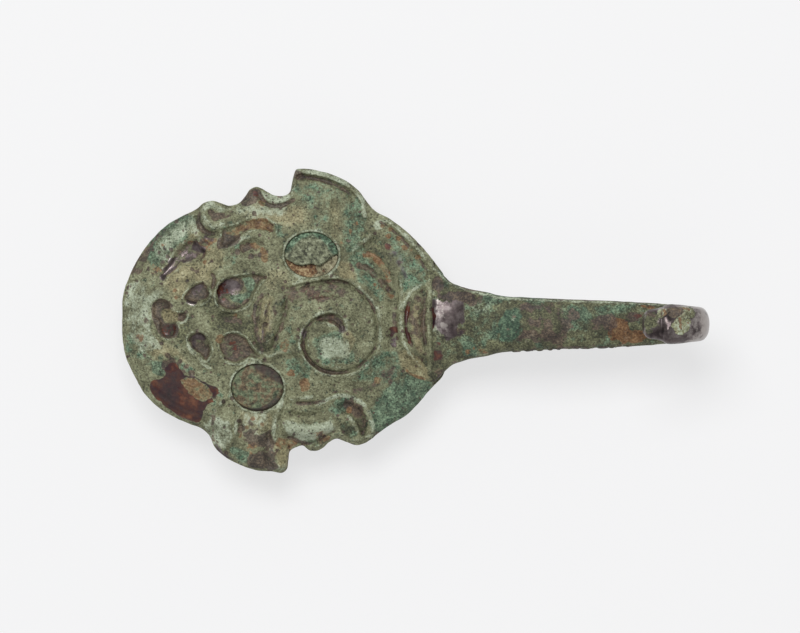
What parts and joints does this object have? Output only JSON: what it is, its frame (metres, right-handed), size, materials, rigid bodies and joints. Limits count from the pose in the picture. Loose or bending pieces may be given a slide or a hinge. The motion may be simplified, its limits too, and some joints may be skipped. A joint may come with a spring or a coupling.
{
  "type": "garment hook",
  "caption": "Cast bronze garment hook with a domed relief plate, a stud button behind it, and a curved shaft ending in a return hook with an animal's head.",
  "frame": {"origin": "the middle of the button's flat bearing face, on the stem's axis", "axes": "+X along the shaft to the hook, +Z out of the relief face, away from the button"},
  "size_m": [0.0762, 0.0395, 0.0195],
  "materials": {
    "patinated_bronze": "green malachite crust over brown bronze, glossy where worn bare",
    "worn_bronze": "brown patina with green in the corners, rubbed on the rim",
    "green_inlay": "dull granular",
    "mottled_inlay": "dull mottled",
    "bedding_paste": "matt earthy"
  },
  "bodies": {
    "root": {"hook_casting": "patinated_bronze", "button": "worn_bronze", "upper_round_inlay": "green_inlay", "upper_inlay_bed": "bedding_paste", "lower_round_inlay": "mottled_inlay", "lower_inlay_bed": "bedding_paste"}
  },
  "joints": []
}
